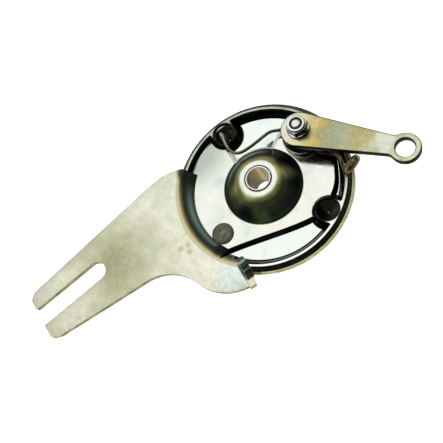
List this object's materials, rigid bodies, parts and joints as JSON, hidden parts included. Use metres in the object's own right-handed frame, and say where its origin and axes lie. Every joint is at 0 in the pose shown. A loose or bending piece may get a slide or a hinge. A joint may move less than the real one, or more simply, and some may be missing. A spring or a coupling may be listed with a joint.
{
  "type": "drum brake backing plate",
  "caption": "Pressed drum brake backing plate with a forked torque arm, a cam lever with ring eye, a wire return spring, a cable lug and two shoes on an anchor pin.",
  "frame": {"origin": "on the wheel axle's axis, in the underside of the plate's rim flange", "axes": "+Z along the axle, out of the wheel to the lever side; +Y from the anchor pin to the cam; +X to the right seen from outside"},
  "size_m": [0.124, 0.2031, 0.0389],
  "materials": {
    "plate_zinc": "bright rolled zinc",
    "arm_zinc": "satin zinc with a faint yellow cast",
    "weld": "weld bead, zinc plated",
    "bush_steel": "turned steel",
    "pin_steel": "dull grey steel",
    "hardware_zinc": "zinc plated",
    "spring_steel": "phosphated spring steel",
    "felt": "oiled felt",
    "lever_spring_wire": "drawn spring wire",
    "shoe_spring_wire": "drawn spring wire",
    "shaft_steel": "turned and zinc plated",
    "lever_zinc": "bright zinc with a yellow cast",
    "washer_zinc": "bright zinc",
    "nut_zinc": "bright zinc",
    "lock_insert": "dark nylon",
    "shoe_steel": "black paint",
    "lining": "friction lining, moulded",
    "rivet_brass": "tubular rivets"
  },
  "bodies": {
    "plate": {"brake_plate": "plate_zinc", "torque_arm": "arm_zinc", "weld_beads": "weld", "axle_bush": "bush_steel", "anchor_pin": "pin_steel", "anchor_washer": "hardware_zinc", "anchor_clip": "spring_steel", "cam_sleeve": "bush_steel", "cam_seal": "felt", "spring_seat": "hardware_zinc", "lever_spring": "lever_spring_wire", "cam_end_spring": "shoe_spring_wire", "anchor_end_spring": "shoe_spring_wire"},
    "lever": {"camshaft": "shaft_steel", "brake_lever": "lever_zinc", "lever_washer": "washer_zinc", "lever_nut": "nut_zinc", "lock_ring": "lock_insert"},
    "right_shoe": {"right_shoe_web": "shoe_steel", "right_shoe_table": "shoe_steel", "right_lining": "lining", "right_lining_rivets": "rivet_brass"},
    "left_shoe": {"left_shoe_web": "shoe_steel", "left_shoe_table": "shoe_steel", "left_lining": "lining", "left_lining_rivets": "rivet_brass"}
  },
  "joints": [
    {"name": "lever_turn", "type": "hinge", "parent": "plate", "child": "lever", "pos_m": [0, 0.034, 0], "axis": [0, 0, -1], "range_deg": [0, 25], "stiffness_Nm_per_rad": 0.8, "springref_deg": -28.65, "deforming": ["lever_spring"]},
    {"name": "right_shoe_turn", "type": "hinge", "parent": "plate", "child": "right_shoe", "pos_m": [0, -0.034, 0], "axis": [0, 0, -1], "range_deg": [0, 2], "deforming": ["cam_end_spring", "anchor_end_spring"]},
    {"name": "left_shoe_turn", "type": "hinge", "parent": "plate", "child": "left_shoe", "pos_m": [0, -0.034, 0], "axis": [0, 0, 1], "range_deg": [0, 2]}
  ],
  "couplings": [
    {"joint": "right_shoe_turn", "follows": "lever_turn", "ratio": 0.08},
    {"joint": "left_shoe_turn", "follows": "lever_turn", "ratio": 0.08}
  ]
}
